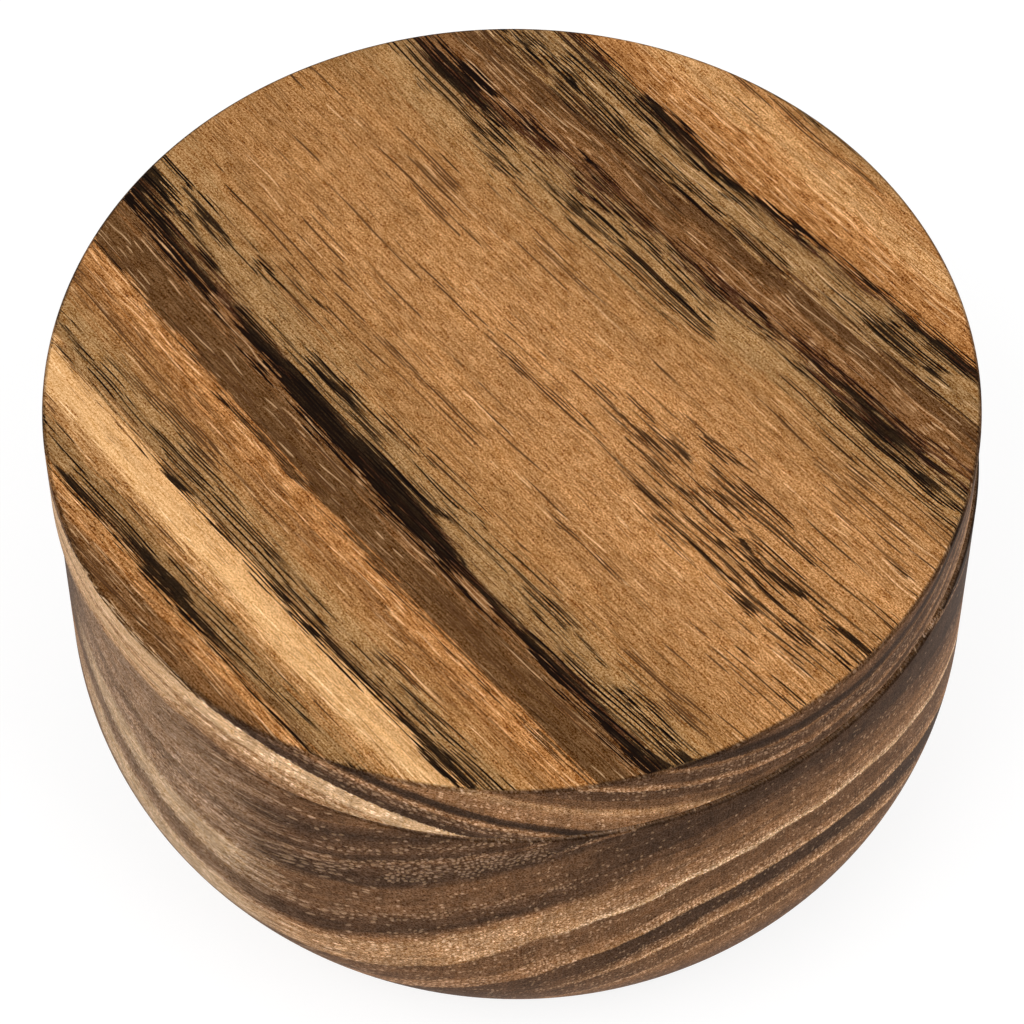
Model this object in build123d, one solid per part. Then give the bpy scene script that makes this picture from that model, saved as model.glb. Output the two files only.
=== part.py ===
from build123d import *
import math
import os

# A round lidded salt box of turned wood. The lid swings sideways on a pin that is hidden in the back of the rim,
# and a pair of disc magnets at the front holds it shut. Millimetres, +Z up, the origin is the middle of the base.

# Outside of the box
outer_radius = 50.0
body_height = 55.6
side_rounding = 32.5
foot_inset = 20.0
foot_easing = 1.2

# Inside of the box
wall_thickness = 10.5
floor_thickness = 8.0
cavity_rounding = 22.0

# Lid. The rest swing is how far short of home the lid stands: its edge shows about half a millimetre to the left.
lid_thickness = 9.5
lid_rest_swing = -0.65
seam_gap = 0.4

# Eased edges, each an arc of this radius
lid_top_easing = 0.6
lid_bottom_easing = 0.4
rim_outer_easing = 0.4
rim_inner_easing = 0.5

# Pivot pin
pin_diameter = 4.0
pin_length_in_lid = 6.0
pin_length_in_bush = 12.0
pin_end_chamfer = 0.4
groove_height = 1.2
groove_depth = 0.45
groove_to_pin_end = 1.8
knurl_ridges = 20
knurl_depth = 0.12
knurl_length = 4.5

# Pivot bush
bush_wall = 1.5
bush_flange_diameter = 8.6
bush_flange_thickness = 1.1
bush_floor = 1.0
barb_count = 3
barb_pitch = 3.0
barb_depth = 0.15
barb_height = 1.2

# Magnets
magnet_diameter = 6.0
magnet_thickness = 3.0
magnet_edge = 0.3
magnet_rise = 0.15

# Clearances
running_clearance = 0.05
end_clearance = 0.3
flange_clearance = 0.05
lip_clearance = 0.08
glue_clearance = 0.05

# Places worked out from the sizes above
rim_centre_radius = outer_radius - wall_thickness / 2
rim_height = body_height
lid_underside = rim_height + seam_gap
lid_top = lid_underside + lid_thickness
flange_top = lid_underside - flange_clearance
pin_radius = pin_diameter / 2
bush_bore_radius = pin_radius + running_clearance
bush_radius = bush_bore_radius + bush_wall
pin_bottom = lid_underside - pin_length_in_bush
pin_top = lid_underside + pin_length_in_lid
bush_bottom = pin_bottom - end_clearance - bush_floor
magnet_radius = magnet_diameter / 2


def eased_corner(corner, before, after, radius):
    """Returns the two ends and the middle of an arc that rounds a square corner of a profile."""
    start = corner + (before - corner).normalized() * radius
    end = corner + (after - corner).normalized() * radius
    centre = start + (end - corner)
    middle = centre + (corner - centre).normalized() * radius
    return start, middle, end


def turned(outline):
    """Turns a closed outline, drawn in the XZ plane with X as the radius, about the Z axis."""
    return revolve(make_face(outline), axis=Axis.Z)


def disc(radius, bottom, top, easing_bottom, easing_top):
    """Returns a turned disc on the Z axis, with its lower and upper edges eased."""
    axis_bottom = Vector(0, 0, bottom)
    axis_top = Vector(0, 0, top)
    low_corner = Vector(radius, 0, bottom)
    high_corner = Vector(radius, 0, top)
    low = eased_corner(low_corner, axis_bottom, high_corner, easing_bottom)
    high = eased_corner(high_corner, low_corner, axis_top, easing_top)
    outline = [
        Line(axis_bottom, low[0]),
        ThreePointArc(*low),
        Line(low[2], high[0]),
        ThreePointArc(*high),
        Line(high[2], axis_top),
        Line(axis_top, axis_bottom),
    ]
    return turned(outline)


def post(radius, bottom, top):
    """Returns a plain cylinder on the Z axis between two heights."""
    return Pos(0, 0, bottom) * Cylinder(radius, top - bottom, align=(Align.CENTER, Align.CENTER, Align.MIN))


def at_back(solid):
    """Moves a solid from the Z axis to the pin's place, in the middle of the rim at the back."""
    return Pos(0, rim_centre_radius, 0) * solid


def at_front(solid):
    """Moves a solid from the Z axis to the magnets' place, in the middle of the rim at the front."""
    return Pos(0, -rim_centre_radius, 0) * solid


def swung(solid):
    """Turns a solid of the lid about the pin, to where the lid stands at rest."""
    return Pos(0, rim_centre_radius, 0) * Rot(0, 0, lid_rest_swing) * Pos(0, -rim_centre_radius, 0) * solid


def bowl_outside():
    """Returns the solid outer form of the box: upright wall, one large rounding and a flat foot."""
    foot_radius = outer_radius - foot_inset
    rounding_centre_radius = outer_radius - side_rounding
    foot_slope = math.acos((foot_radius - rounding_centre_radius) / side_rounding)
    rounding_height = side_rounding * math.sin(foot_slope)

    def on_rounding(slope):
        along = rounding_centre_radius + side_rounding * math.cos(slope)
        down = side_rounding * math.sin(slope)
        return Vector(along, 0, rounding_height - down)

    easing_slope = foot_slope - foot_easing / side_rounding
    foot_corner = Vector(foot_radius, 0, 0)
    foot_start = Vector(foot_radius - foot_easing, 0, 0)
    foot_end = on_rounding(easing_slope)
    axis_bottom = Vector(0, 0, 0)
    axis_top = Vector(0, 0, rim_height)
    wall_bottom = Vector(outer_radius, 0, rounding_height)
    rim_corner = Vector(outer_radius, 0, rim_height)
    rim = eased_corner(rim_corner, wall_bottom, axis_top, rim_outer_easing)
    foot_edge = Bezier(foot_start, foot_corner, foot_end)
    outline = [
        Line(axis_bottom, foot_start),
        foot_edge,
        ThreePointArc(foot_end, on_rounding(easing_slope / 2), wall_bottom),
        Line(wall_bottom, rim[0]),
        ThreePointArc(*rim),
        Line(rim[2], axis_top),
        Line(axis_top, axis_bottom),
    ]
    return turned(outline)


def bowl_inside():
    """Returns the solid that the cavity takes away, with a rounded bottom and an eased mouth."""
    cavity_radius = outer_radius - wall_thickness
    flat_radius = cavity_radius - cavity_rounding
    wall_bottom = Vector(cavity_radius, 0, floor_thickness + cavity_rounding)
    floor_edge = Vector(flat_radius, 0, floor_thickness)
    half_way = math.sin(math.radians(45)) * cavity_rounding
    middle = Vector(flat_radius + half_way, 0, floor_thickness + cavity_rounding - half_way)
    easing_share = rim_inner_easing * math.sin(math.radians(45))
    mouth_low = Vector(cavity_radius, 0, rim_height - rim_inner_easing)
    mouth_middle_radius = cavity_radius + rim_inner_easing - easing_share
    mouth_middle = Vector(mouth_middle_radius, 0, rim_height - rim_inner_easing + easing_share)
    mouth_high = Vector(cavity_radius + rim_inner_easing, 0, rim_height)
    clear_above = rim_height + lid_thickness
    outline = [
        Line(Vector(0, 0, floor_thickness), floor_edge),
        ThreePointArc(floor_edge, middle, wall_bottom),
        Line(wall_bottom, mouth_low),
        ThreePointArc(mouth_low, mouth_middle, mouth_high),
        Line(mouth_high, Vector(mouth_high.X, 0, clear_above)),
        Line(Vector(mouth_high.X, 0, clear_above), Vector(0, 0, clear_above)),
        Line(Vector(0, 0, clear_above), Vector(0, 0, floor_thickness)),
    ]
    return turned(outline)


def make_body():
    """Returns the turned cup with its bores for the bush and the magnet."""
    bush_bore = post(bush_radius, bush_bottom, lid_top)
    flange_recess_radius = bush_flange_diameter / 2 + glue_clearance
    flange_recess = post(flange_recess_radius, flange_top - bush_flange_thickness, lid_top)
    magnet_top = rim_height + magnet_rise
    magnet_pocket = post(magnet_radius + glue_clearance, magnet_top - magnet_thickness, lid_top)
    cup = bowl_outside() - bowl_inside()
    return cup - at_back(bush_bore) - at_back(flange_recess) - at_front(magnet_pocket)


def make_lid():
    """Returns the wooden disc with its blind bores for the pin and the magnet."""
    wood = disc(outer_radius, lid_underside, lid_top, lid_bottom_easing, lid_top_easing)
    pin_bore = post(pin_radius, rim_height, pin_top)
    magnet_top = lid_underside - magnet_rise + magnet_thickness
    magnet_pocket = post(magnet_radius + glue_clearance, rim_height, magnet_top)
    return swung(wood - at_back(pin_bore) - at_front(magnet_pocket))


def make_pivot_pin():
    """Returns the steel pin: knurled top end, plain running length, snap groove and chamfered ends."""
    pin = post(pin_radius, pin_bottom, pin_top)
    pin = chamfer(pin.edges().filter_by(GeomType.CIRCLE), pin_end_chamfer)
    groove_bottom = pin_bottom + groove_to_pin_end
    groove_radius = pin_radius - groove_depth
    ring = post(pin_diameter, groove_bottom, groove_bottom + groove_height)
    pin = pin - (ring - post(groove_radius, groove_bottom, groove_bottom + groove_height))
    knurl_top = pin_top - pin_end_chamfer
    ridge_half_width = math.pi * pin_radius / knurl_ridges / 2
    ridge_outline = Polyline(
        (pin_radius - knurl_depth, -ridge_half_width),
        (pin_radius + knurl_depth, 0),
        (pin_radius - knurl_depth, ridge_half_width),
        close=True,
    )
    ridge = Pos(0, 0, knurl_top - knurl_length) * extrude(make_face(ridge_outline), knurl_length)
    ridges = [Rot(0, 0, 360 * turn / knurl_ridges) * ridge for turn in range(knurl_ridges)]
    return swung(at_back(pin + ridges))


def make_pivot_bush():
    """Returns the flanged sleeve, with barbs outside and a snap lip inside."""
    sleeve = post(bush_radius, bush_bottom, flange_top)
    flange = post(bush_flange_diameter / 2, flange_top - bush_flange_thickness, flange_top)
    barbs = []
    for step in range(barb_count):
        barb_bottom = bush_bottom + bush_floor + step * barb_pitch
        barb_radius = bush_radius + barb_depth
        barb = Cone(bush_radius, barb_radius, barb_height, align=(Align.CENTER, Align.CENTER, Align.MIN))
        barbs.append(Pos(0, 0, barb_bottom) * barb)
    bore = post(bush_bore_radius, bush_bottom + bush_floor, lid_top)
    groove_bottom = pin_bottom + groove_to_pin_end
    lip_bottom = groove_bottom + lip_clearance
    lip_top = groove_bottom + groove_height - lip_clearance
    lip_radius = pin_radius - groove_depth + lip_clearance
    lip = post(bush_bore_radius, lip_bottom, lip_top) - post(lip_radius, lip_bottom, lip_top)
    return at_back(sleeve + flange + barbs - bore + lip)


def magnet(bottom):
    """Returns a disc magnet on the Z axis, with eased edges."""
    return disc(magnet_radius, bottom, bottom + magnet_thickness, magnet_edge, magnet_edge)


def make_body_magnet():
    """Returns the magnet that stands a little proud of the rim."""
    return at_front(magnet(rim_height + magnet_rise - magnet_thickness))


def make_lid_magnet():
    """Returns the magnet that stands a little proud of the lid's underside."""
    return swung(at_front(magnet(lid_underside - magnet_rise)))


pieces = {
    "body": make_body(),
    "lid": make_lid(),
    "pivot_pin": make_pivot_pin(),
    "pivot_bush": make_pivot_bush(),
    "body_magnet": make_body_magnet(),
    "lid_magnet": make_lid_magnet(),
}

os.makedirs("parts", exist_ok=True)
for name, piece in pieces.items():
    export_step(piece, f"parts/{name}.step")
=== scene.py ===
"""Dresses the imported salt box: streaky turned wood, a steel pin, a plastic bush and two plated magnets.

The box and its lid are turned anew from their outlines, so that their surfaces are smooth and carry faint
tool marks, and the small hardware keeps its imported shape. The wood is one solid pattern of growth rings that
runs through each piece, so that the top, the side and the inside agree with each other.
"""
import logging
import math
from dataclasses import dataclass
from enum import Enum
from typing import Optional, Sequence, Union

import bpy
from bpy.types import ID, GeometryNodeTree, Material, Node, NodeSocket, NodeTree, Object, ShaderNodeTree
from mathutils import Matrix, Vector


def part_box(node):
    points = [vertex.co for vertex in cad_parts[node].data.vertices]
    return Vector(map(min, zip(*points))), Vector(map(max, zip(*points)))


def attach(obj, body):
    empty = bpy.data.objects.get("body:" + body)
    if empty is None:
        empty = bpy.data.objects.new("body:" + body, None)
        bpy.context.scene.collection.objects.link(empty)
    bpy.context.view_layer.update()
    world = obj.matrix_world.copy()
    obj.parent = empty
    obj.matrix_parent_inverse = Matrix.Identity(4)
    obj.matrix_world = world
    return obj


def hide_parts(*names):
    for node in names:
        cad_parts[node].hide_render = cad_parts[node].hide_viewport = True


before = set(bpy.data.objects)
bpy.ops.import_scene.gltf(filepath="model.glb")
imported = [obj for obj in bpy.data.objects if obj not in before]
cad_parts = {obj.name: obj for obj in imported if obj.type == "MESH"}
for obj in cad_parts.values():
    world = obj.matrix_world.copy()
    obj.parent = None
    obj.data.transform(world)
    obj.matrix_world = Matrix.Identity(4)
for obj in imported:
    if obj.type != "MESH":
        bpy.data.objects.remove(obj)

log = logging.getLogger("salt_box")

MM = 0.001
PER_METRE = 1000.0

Value = Union[float, int, bool, Sequence[float], Node, NodeSocket, Material]
Feeds = Union[dict[Union[str, int], Value], Sequence[Value]]
Colour = tuple[float, float, float, float]
Spot = tuple[float, float]


def linear(screen: Sequence[int]) -> Colour:
    """Turns a screen colour into the linear colour that shaders use.

    Args:
        screen: The red, green and blue channels, 0 to 255.

    Returns:
        The linear channels, 0 to 1, and full alpha.
    """
    def channel(level: int) -> float:
        """Returns one channel in linear light."""
        share = level / 255.0
        return share / 12.92 if share <= 0.04045 else ((share + 0.055) / 1.055) ** 2.4

    red, green, blue = (channel(level) for level in screen)
    return red, green, blue, 1.0


def grey(level: float) -> Colour:
    """Returns an even linear grey with full alpha."""
    return level, level, level, 1.0


def show(name: str, data: ID) -> Object:
    """Makes an object and links it to the scene.

    Args:
        name: The object's name.
        data: What it shows: a mesh, a lamp or a camera.

    Returns:
        The object.
    """
    item = bpy.data.objects.new(name, data)
    bpy.context.scene.collection.objects.link(item)
    return item


class ScreenColour(Enum):
    """Named colours, each as the red, green and blue that a screen shows."""

    @property
    def rgba(self) -> Colour:
        """The linear colour with full alpha."""
        return linear(self.value)


class Tone(ScreenColour):
    """The tones of the wood.

    The first are for the flat of the lid, the ink for dark lines and the fleck for pale vessels. Those from
    cream to soot are mostly for the end grain, and those from sand to bark mostly for the flat of the cup,
    where their paleness and greyness are partly the side grain's own tone and partly a painted sheen.
    """

    HEART_TAN = (190, 136, 84)
    AMBER = (166, 112, 62)
    ORANGE_TAN = (182, 125, 72)
    LIGHT_TAN = (200, 148, 94)
    PALE = (230, 178, 120)
    PALE_TAN = (218, 165, 108)
    HONEY = (166, 118, 70)
    OLIVE_TAN = (170, 128, 81)
    OLIVE = (158, 119, 75)
    MOSS = (136, 99, 60)
    CHESTNUT = (134, 92, 54)
    BROWN = (106, 73, 42)
    DEEP_BROWN = (90, 59, 34)
    RUST = (78, 46, 28)
    INK = (20, 12, 8)
    FLECK = (226, 184, 138)
    CREAM = (220, 178, 134)
    BUFF = (178, 134, 93)
    CLAY = (149, 107, 72)
    LOAM = (118, 84, 57)
    UMBER = (97, 69, 48)
    PEAT = (78, 56, 40)
    SOOT = (62, 45, 33)
    # The cup's flat tones: partly the side grain's own pale tone, partly a painted sheen that greys and
    # lightens it.
    SAND = (200, 166, 130)
    SHEEN_GREY_TAN = (154, 121, 92)
    SHEEN_GREY_BROWN = (130, 101, 76)
    BARK = (106, 80, 58)


class SocketKind(Enum):
    """The kinds of socket that the node groups have."""

    FLOAT = "NodeSocketFloat"
    INT = "NodeSocketInt"
    VECTOR = "NodeSocketVector"
    GEOMETRY = "NodeSocketGeometry"
    MATERIAL = "NodeSocketMaterial"


class Works:
    """A node tree being built, with short calls for its nodes and links.

    A value that goes into a node is a plain one, a socket, or a node, which stands for its first output.
    """

    def __init__(self, tree: NodeTree) -> None:
        """Holds the tree and starts it empty."""
        self.tree = tree
        self.tree.nodes.clear()

    def add(self, kind: str, feeds: Feeds = (), **settings: object) -> Node:
        """Adds a node.

        Args:
            kind: The node's type name.
            feeds: What goes into its inputs, by their names or in their order.
            **settings: Its properties, such as an operation.

        Returns:
            The new node.
        """
        node = self.tree.nodes.new(kind)
        for name, value in settings.items():
            setattr(node, name, value)
        for key, value in feeds.items() if isinstance(feeds, dict) else enumerate(feeds):
            self.feed(node.inputs[key], value)
        return node

    def feed(self, socket: NodeSocket, value: Value) -> None:
        """Links a socket to a value that comes from a node, or sets its plain value.

        Args:
            socket: An input of a node.
            value: What goes into it.
        """
        if isinstance(value, Node):
            value = value.outputs[0]
        if isinstance(value, NodeSocket):
            self.tree.links.new(value, socket)
        else:
            socket.default_value = value

    def math(self, operation: str, *values: Value) -> NodeSocket:
        """Adds a Math node and returns its result."""
        return self.add("ShaderNodeMath", values, operation=operation).outputs[0]

    def plus(self, first: Value, second: Value) -> NodeSocket:
        """Returns the sum of two values."""
        return self.math("ADD", first, second)

    def minus(self, first: Value, second: Value) -> NodeSocket:
        """Returns the first value less the second."""
        return self.math("SUBTRACT", first, second)

    def times(self, first: Value, second: Value) -> NodeSocket:
        """Returns the product of two values."""
        return self.math("MULTIPLY", first, second)

    def over(self, first: Value, second: Value) -> NodeSocket:
        """Returns the first value divided by the second."""
        return self.math("DIVIDE", first, second)

    def vector(self, operation: str, *values: Value) -> NodeSocket:
        """Adds a Vector Math node and returns its vector, or its value for a length or a dot product."""
        node = self.add("ShaderNodeVectorMath", values, operation=operation)
        return node.outputs["Value" if operation in {"LENGTH", "DOT_PRODUCT"} else "Vector"]

    def scale(self, vector: Value, factor: Value) -> NodeSocket:
        """Scales a vector by one factor and returns it."""
        feeds = {0: vector, "Scale": factor}
        return self.add("ShaderNodeVectorMath", feeds, operation="SCALE").outputs["Vector"]

    def counted(self, vector: Value, sizes: Sequence[float]) -> NodeSocket:
        """Returns a vector with each part counted in its own size."""
        return self.vector("MULTIPLY", vector, [1 / size for size in sizes])

    def split(self, vector: Value) -> tuple[NodeSocket, ...]:
        """Returns the three parts of a vector."""
        return tuple(self.add("ShaderNodeSeparateXYZ", [vector]).outputs)

    def join(self, x: Value, y: Value, z: Value) -> NodeSocket:
        """Returns a vector made of three parts."""
        return self.add("ShaderNodeCombineXYZ", (x, y, z)).outputs[0]

    def ease(self, value: Value, low: Value, high: Value) -> NodeSocket:
        """Returns a smooth step from 0 to 1 as a value goes from low to high."""
        feeds = {"Value": value, "From Min": low, "From Max": high}
        return self.add("ShaderNodeMapRange", feeds, interpolation_type="SMOOTHSTEP").outputs["Result"]

    def remap(self, value: Value, low: Value, high: Value) -> NodeSocket:
        """Returns a value between 0 and 1 spread evenly over the span from low to high."""
        feeds = {"Value": value, "To Min": low, "To Max": high}
        return self.add("ShaderNodeMapRange", feeds, clamp=False).outputs["Result"]

    def blend(self, share: Value, first: Value, second: Value) -> NodeSocket:
        """Blends two colours and returns the result."""
        feeds = {"Factor": share, "A": first, "B": second}
        return self.add("ShaderNodeMix", feeds, data_type="RGBA").outputs["Result"]

    def noise(self, vector: Value, detail: float = 2.0, rough: float = 0.5, swirl: Value = 0.0) -> Node:
        """Adds a noise around a half, with features one unit of the vector apart, and returns its node."""
        feeds = {"Vector": vector, "Scale": 1.0, "Detail": detail, "Roughness": rough, "Distortion": swirl}
        return self.add("ShaderNodeTexNoise", feeds)

    def group(self, tree: NodeTree, **values: Value) -> Node:
        """Places a node group.

        Args:
            tree: The group's tree.
            **values: Its inputs, with underscores for the spaces in their names.

        Returns:
            The group's node.
        """
        feeds = {name.replace("_", " "): value for name, value in values.items()}
        return self.add("ShaderNodeGroup", feeds, node_tree=tree)


class GroupWorks(Works):
    """A node group being built, with its own inputs and outputs."""

    def __init__(self, name: str, kind: str = "ShaderNodeTree") -> None:
        """Makes the empty group.

        Args:
            name: The group's name.
            kind: The type name of its tree.
        """
        super().__init__(bpy.data.node_groups.new(name, kind))
        self.entry = self.add("NodeGroupInput")
        self.exit = self.add("NodeGroupOutput")

    def take(self, name: str, kind: SocketKind, default: Optional[Value] = None) -> NodeSocket:
        """Adds an input to the group.

        Args:
            name: The input's name.
            kind: The kind of its socket.
            default: Its value where nothing else is given.

        Returns:
            The socket that carries it inside the group.
        """
        item = self.tree.interface.new_socket(name=name, in_out="INPUT", socket_type=kind.value)
        if default is not None:
            item.default_value = default
        return self.entry.outputs[name]

    def number(self, name: str, default: float = 0.0) -> NodeSocket:
        """Adds a number as an input and returns the socket that carries it inside."""
        return self.take(name, SocketKind.FLOAT, default)

    def give(self, name: str, value: Value, kind: SocketKind = SocketKind.FLOAT) -> None:
        """Adds an output to the group and links it."""
        self.tree.interface.new_socket(name=name, in_out="OUTPUT", socket_type=kind.value)
        self.feed(self.exit.inputs[name], value)


class MaterialWorks(Works):
    """A material being built."""

    def __init__(self, name: str) -> None:
        """Makes the empty material.

        Args:
            name: The material's name.
        """
        self.material = bpy.data.materials.new(name)
        self.material.use_nodes = True
        super().__init__(self.material.node_tree)

    def bump(self, height: Value, strength: float, depth: float) -> Node:
        """Adds a bump, with its depth in millimetres, and returns its node."""
        return self.add("ShaderNodeBump", {"Strength": strength, "Distance": depth * MM, "Height": height})

    def close(self, shader: Node) -> Material:
        """Links the shader to the output and returns the finished material."""
        self.add("ShaderNodeOutputMaterial", {"Surface": shader})
        return self.material

    def paint(self, colour: Value, roughness: Value, bump: Node, **plain: float) -> Material:
        """Closes the material with one Principled shader.

        Args:
            colour: Its base colour.
            roughness: Its roughness.
            bump: The bump that its normal comes from.
            **plain: Its plain values, with underscores for the spaces in their names.

        Returns:
            The finished material.
        """
        feeds: dict[str, Value] = {"Base Color": colour, "Roughness": roughness, "Normal": bump}
        feeds.update((name.replace("_", " "), value) for name, value in plain.items())
        return self.close(self.add("ShaderNodeBsdfPrincipled", feeds))


# How far apart the fibres' slow bends are along, across and below the grain, and how far the bends swing.
WAVER_SPAN = (24.0, 8.0, 8.0)
WAVER_SWING = 2.0


def fibre_frame_group() -> ShaderNodeTree:
    """Makes the group that turns object coordinates into millimetres along, across and below the grain.

    Returns:
        The group's tree.
    """
    works = GroupWorks("Fibre frame")
    place = works.take("Place", SocketKind.VECTOR)
    middle = works.take("Middle", SocketKind.VECTOR)
    angle = works.number("Grain Angle")
    waver = works.number("Waver", 0.5)
    feeds = {"Vector": works.vector("SUBTRACT", place, middle), "Angle": works.times(angle, -1.0)}
    turned = works.add("ShaderNodeVectorRotate", feeds, rotation_type="Z_AXIS")
    flat = works.vector("MULTIPLY", turned, (PER_METRE, PER_METRE, -PER_METRE))
    slow = works.noise(works.counted(flat, WAVER_SPAN))
    pushed = works.times(works.remap(slow, -WAVER_SWING, WAVER_SWING), waver)
    works.give("Fibre", works.vector("ADD", flat, works.join(0.0, pushed, pushed)), SocketKind.VECTOR)
    works.give("Plain Fibre", flat, SocketKind.VECTOR)
    return works.tree


def ring_frame_group() -> ShaderNodeTree:
    """Makes the group that finds a point's place among the growth rings, which go round a bent pith line.

    Returns:
        The group's tree. Its first output holds the places along the grain, round the rings and across them.
    """
    works = GroupWorks("Ring frame")
    fibre = works.take("Fibre", SocketKind.VECTOR)
    names = ("Pith Across", "Pith Depth", "Drift", "Side Bow", "Rise", "Height Bow")
    taken = {name: works.number(name) for name in names}
    along, across, depth = works.split(fibre)

    def bent(start: str, slope: str, bow: str) -> NodeSocket:
        """Returns the pith's place in one direction, a parabola along the grain."""
        bowed = works.math("MULTIPLY_ADD", taken[bow], along, taken[slope])
        return works.math("MULTIPLY_ADD", bowed, along, taken[start])

    side = works.minus(across, bent("Pith Across", "Drift", "Side Bow"))
    below = works.minus(depth, bent("Pith Depth", "Rise", "Height Bow"))
    radius = works.vector("LENGTH", works.join(side, below, 0.0))
    turn = works.math("ARCTAN2", side, works.math("ABSOLUTE", below))
    works.give("Rings", works.join(along, works.times(turn, radius), radius), SocketKind.VECTOR)
    works.give("Distance", radius)
    works.give("Side", side)
    return works.tree


# The value that a noise keeps around, and the span of it that a field of streaks spreads from 0 to 1.
NOISE_MIDDLE = 0.5
STREAK_NOISE = (0.35, 0.65)


def streak_group() -> ShaderNodeTree:
    """Makes the group for a field of streaks, spread evenly from 0 to 1.

    Returns:
        The group's tree.
    """
    works = GroupWorks("Streaks")
    rings = works.take("Rings", SocketKind.VECTOR)
    length = works.number("Length", 16.0)
    breadth = works.number("Breadth", 0.5)
    thickness = works.number("Thickness", 0.5)
    shift = works.number("Shift")
    swirl = works.number("Swirl")
    stretched = works.vector("DIVIDE", rings, works.join(length, breadth, thickness))
    moved = works.vector("ADD", stretched, works.join(shift, shift, shift))
    works.give("Field", works.ease(works.noise(moved, rough=0.55, swirl=swirl), *STREAK_NOISE))
    return works.tree


def threshold_group() -> ShaderNodeTree:
    """Makes the group that turns a field into a mask which covers a given share of the surface.

    Returns:
        The group's tree.
    """
    works = GroupWorks("Cover")
    field = works.number("Field")
    share = works.number("Share")
    soft = works.number("Softness", 0.1)
    span = works.math("MULTIPLY_ADD", soft, 2.0, 1.0)
    level = works.minus(works.times(share, span), soft)
    beyond = works.ease(field, works.minus(level, soft), works.plus(level, soft))
    works.give("Mask", works.minus(1.0, beyond))
    return works.tree


# The vessels' swerves: how far apart across the rings, in millimetres, and how far in spacings.
SWERVE_SPAN = 4.0
SWERVE_REACH = 3.0
# How unevenly the vessels are placed, and the share of a vessel's radius that has its full strength.
VESSEL_SCATTER = 0.75
VESSEL_CORE = 0.68
# The span of the noise that breaks the vessels, how softly they break, and the strength of the faintest.
BREAK_NOISE = (0.3, 0.7)
BREAK_SOFTNESS = 0.04
FAINTEST_VESSEL = 0.6


def vessel_group() -> ShaderNodeTree:
    """Makes the group for the wood's vessels: long tubes that swerve.

    Returns:
        The group's tree. Its mask shows dashes on a flat and dots on an end.
    """
    works = GroupWorks("Vessels")
    rings = works.take("Rings", SocketKind.VECTOR)
    length = works.number("Length", 8.0)
    spacing = works.number("Spacing", 0.5)
    width = works.number("Width", 0.2)
    share = works.number("Share", 0.5)
    gaps = works.number("Gaps", 0.3)
    shift = works.number("Shift")
    slow = works.vector("DIVIDE", rings, works.join(length, SWERVE_SPAN, SWERVE_SPAN))
    swerve = works.noise(works.vector("ADD", slow, works.join(shift, shift, shift)), detail=1.0)
    swerve_round, swerve_out, breaks = works.split(swerve.outputs["Color"])
    _, round_rings, distance = works.split(rings)
    cell_round = works.math("MULTIPLY_ADD", swerve_round, SWERVE_REACH, works.over(round_rings, spacing))
    cell_out = works.math("MULTIPLY_ADD", swerve_out, SWERVE_REACH, works.over(distance, spacing))
    place = works.join(cell_round, works.plus(cell_out, shift), 0.0)
    feeds = {"Vector": place, "Scale": 1.0, "Randomness": VESSEL_SCATTER}
    cells = works.add("ShaderNodeTexVoronoi", feeds, voronoi_dimensions="2D")
    radius = works.over(works.times(width, 0.5), spacing)
    inside = works.ease(cells.outputs["Distance"], radius, works.times(radius, VESSEL_CORE))
    lot, fade, _ = works.split(cells.outputs["Color"])
    kept = works.math("LESS_THAN", lot, share)
    unbroken = works.minus(breaks, works.remap(gaps, *BREAK_NOISE))
    whole = works.ease(unbroken, -BREAK_SOFTNESS, BREAK_SOFTNESS)
    strength = works.times(works.remap(fade, FAINTEST_VESSEL, 1.0), whole)
    works.give("Mask", works.times(works.times(inside, kept), strength))
    return works.tree


# The sizes of a sanded face's marks in millimetres: along, across and below the grain, and for the rays
# along the grain, round the rings and across them.
SANDED_STREAK = (2.2, 0.25, 0.25)
SANDED_SPECK = (0.26, 0.15, 0.15)
RAY = (3.0, 0.5, 4.0)


def sanded_group() -> ShaderNodeTree:
    """Makes the group for the fine streaks, the speckle and the rays of a sanded face.

    Returns:
        The group's tree.
    """
    works = GroupWorks("Sanded face")
    fibre = works.take("Fibre", SocketKind.VECTOR)
    rings = works.take("Rings", SocketKind.VECTOR)
    works.give("Streaks", works.noise(works.counted(fibre, SANDED_STREAK), rough=0.6))
    works.give("Speckle", works.noise(works.counted(fibre, SANDED_SPECK), detail=1.0, rough=0.7))
    works.give("Rays", works.noise(works.counted(rings, RAY), detail=1.0))
    return works.tree


# How far a ragged field shifts the cut, and where the end grain begins and is whole.
CUT_RAGGEDNESS = (0.1, 0.24)
END_GRAIN_FACING = (0.2, 0.42)
# How far up a surface faces where it stops being level, and where an eased edge begins and ends.
LEVEL_FACING = (0.97, 0.7)
EDGE_LOW_FACING = (0.08, 0.45)
EDGE_HIGH_FACING = (0.995, 0.9)


def cut_group() -> ShaderNodeTree:
    """Makes the group that tells how a surface cuts the wood, from its normal.

    Returns:
        The group's tree. Its masks are the end grain and the eased edges.
    """
    works = GroupWorks("Cut of the surface")
    normal = works.take("Normal", SocketKind.VECTOR)
    angle = works.number("Grain Angle")
    ragged = works.number("Ragged")
    grain = works.join(works.math("COSINE", angle), works.math("SINE", angle), 0.0)
    facing = works.plus(works.vector("DOT_PRODUCT", normal, grain), works.remap(ragged, *CUT_RAGGEDNESS))
    _, _, up = works.split(normal)
    upright = works.ease(works.math("ABSOLUTE", up), *LEVEL_FACING)
    cut = works.ease(works.math("ABSOLUTE", facing), *END_GRAIN_FACING)
    works.give("End Grain", works.times(cut, upright))
    edge = works.times(works.ease(up, *EDGE_LOW_FACING), works.ease(up, *EDGE_HIGH_FACING))
    works.give("Eased Edge", edge)
    return works.tree


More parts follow.
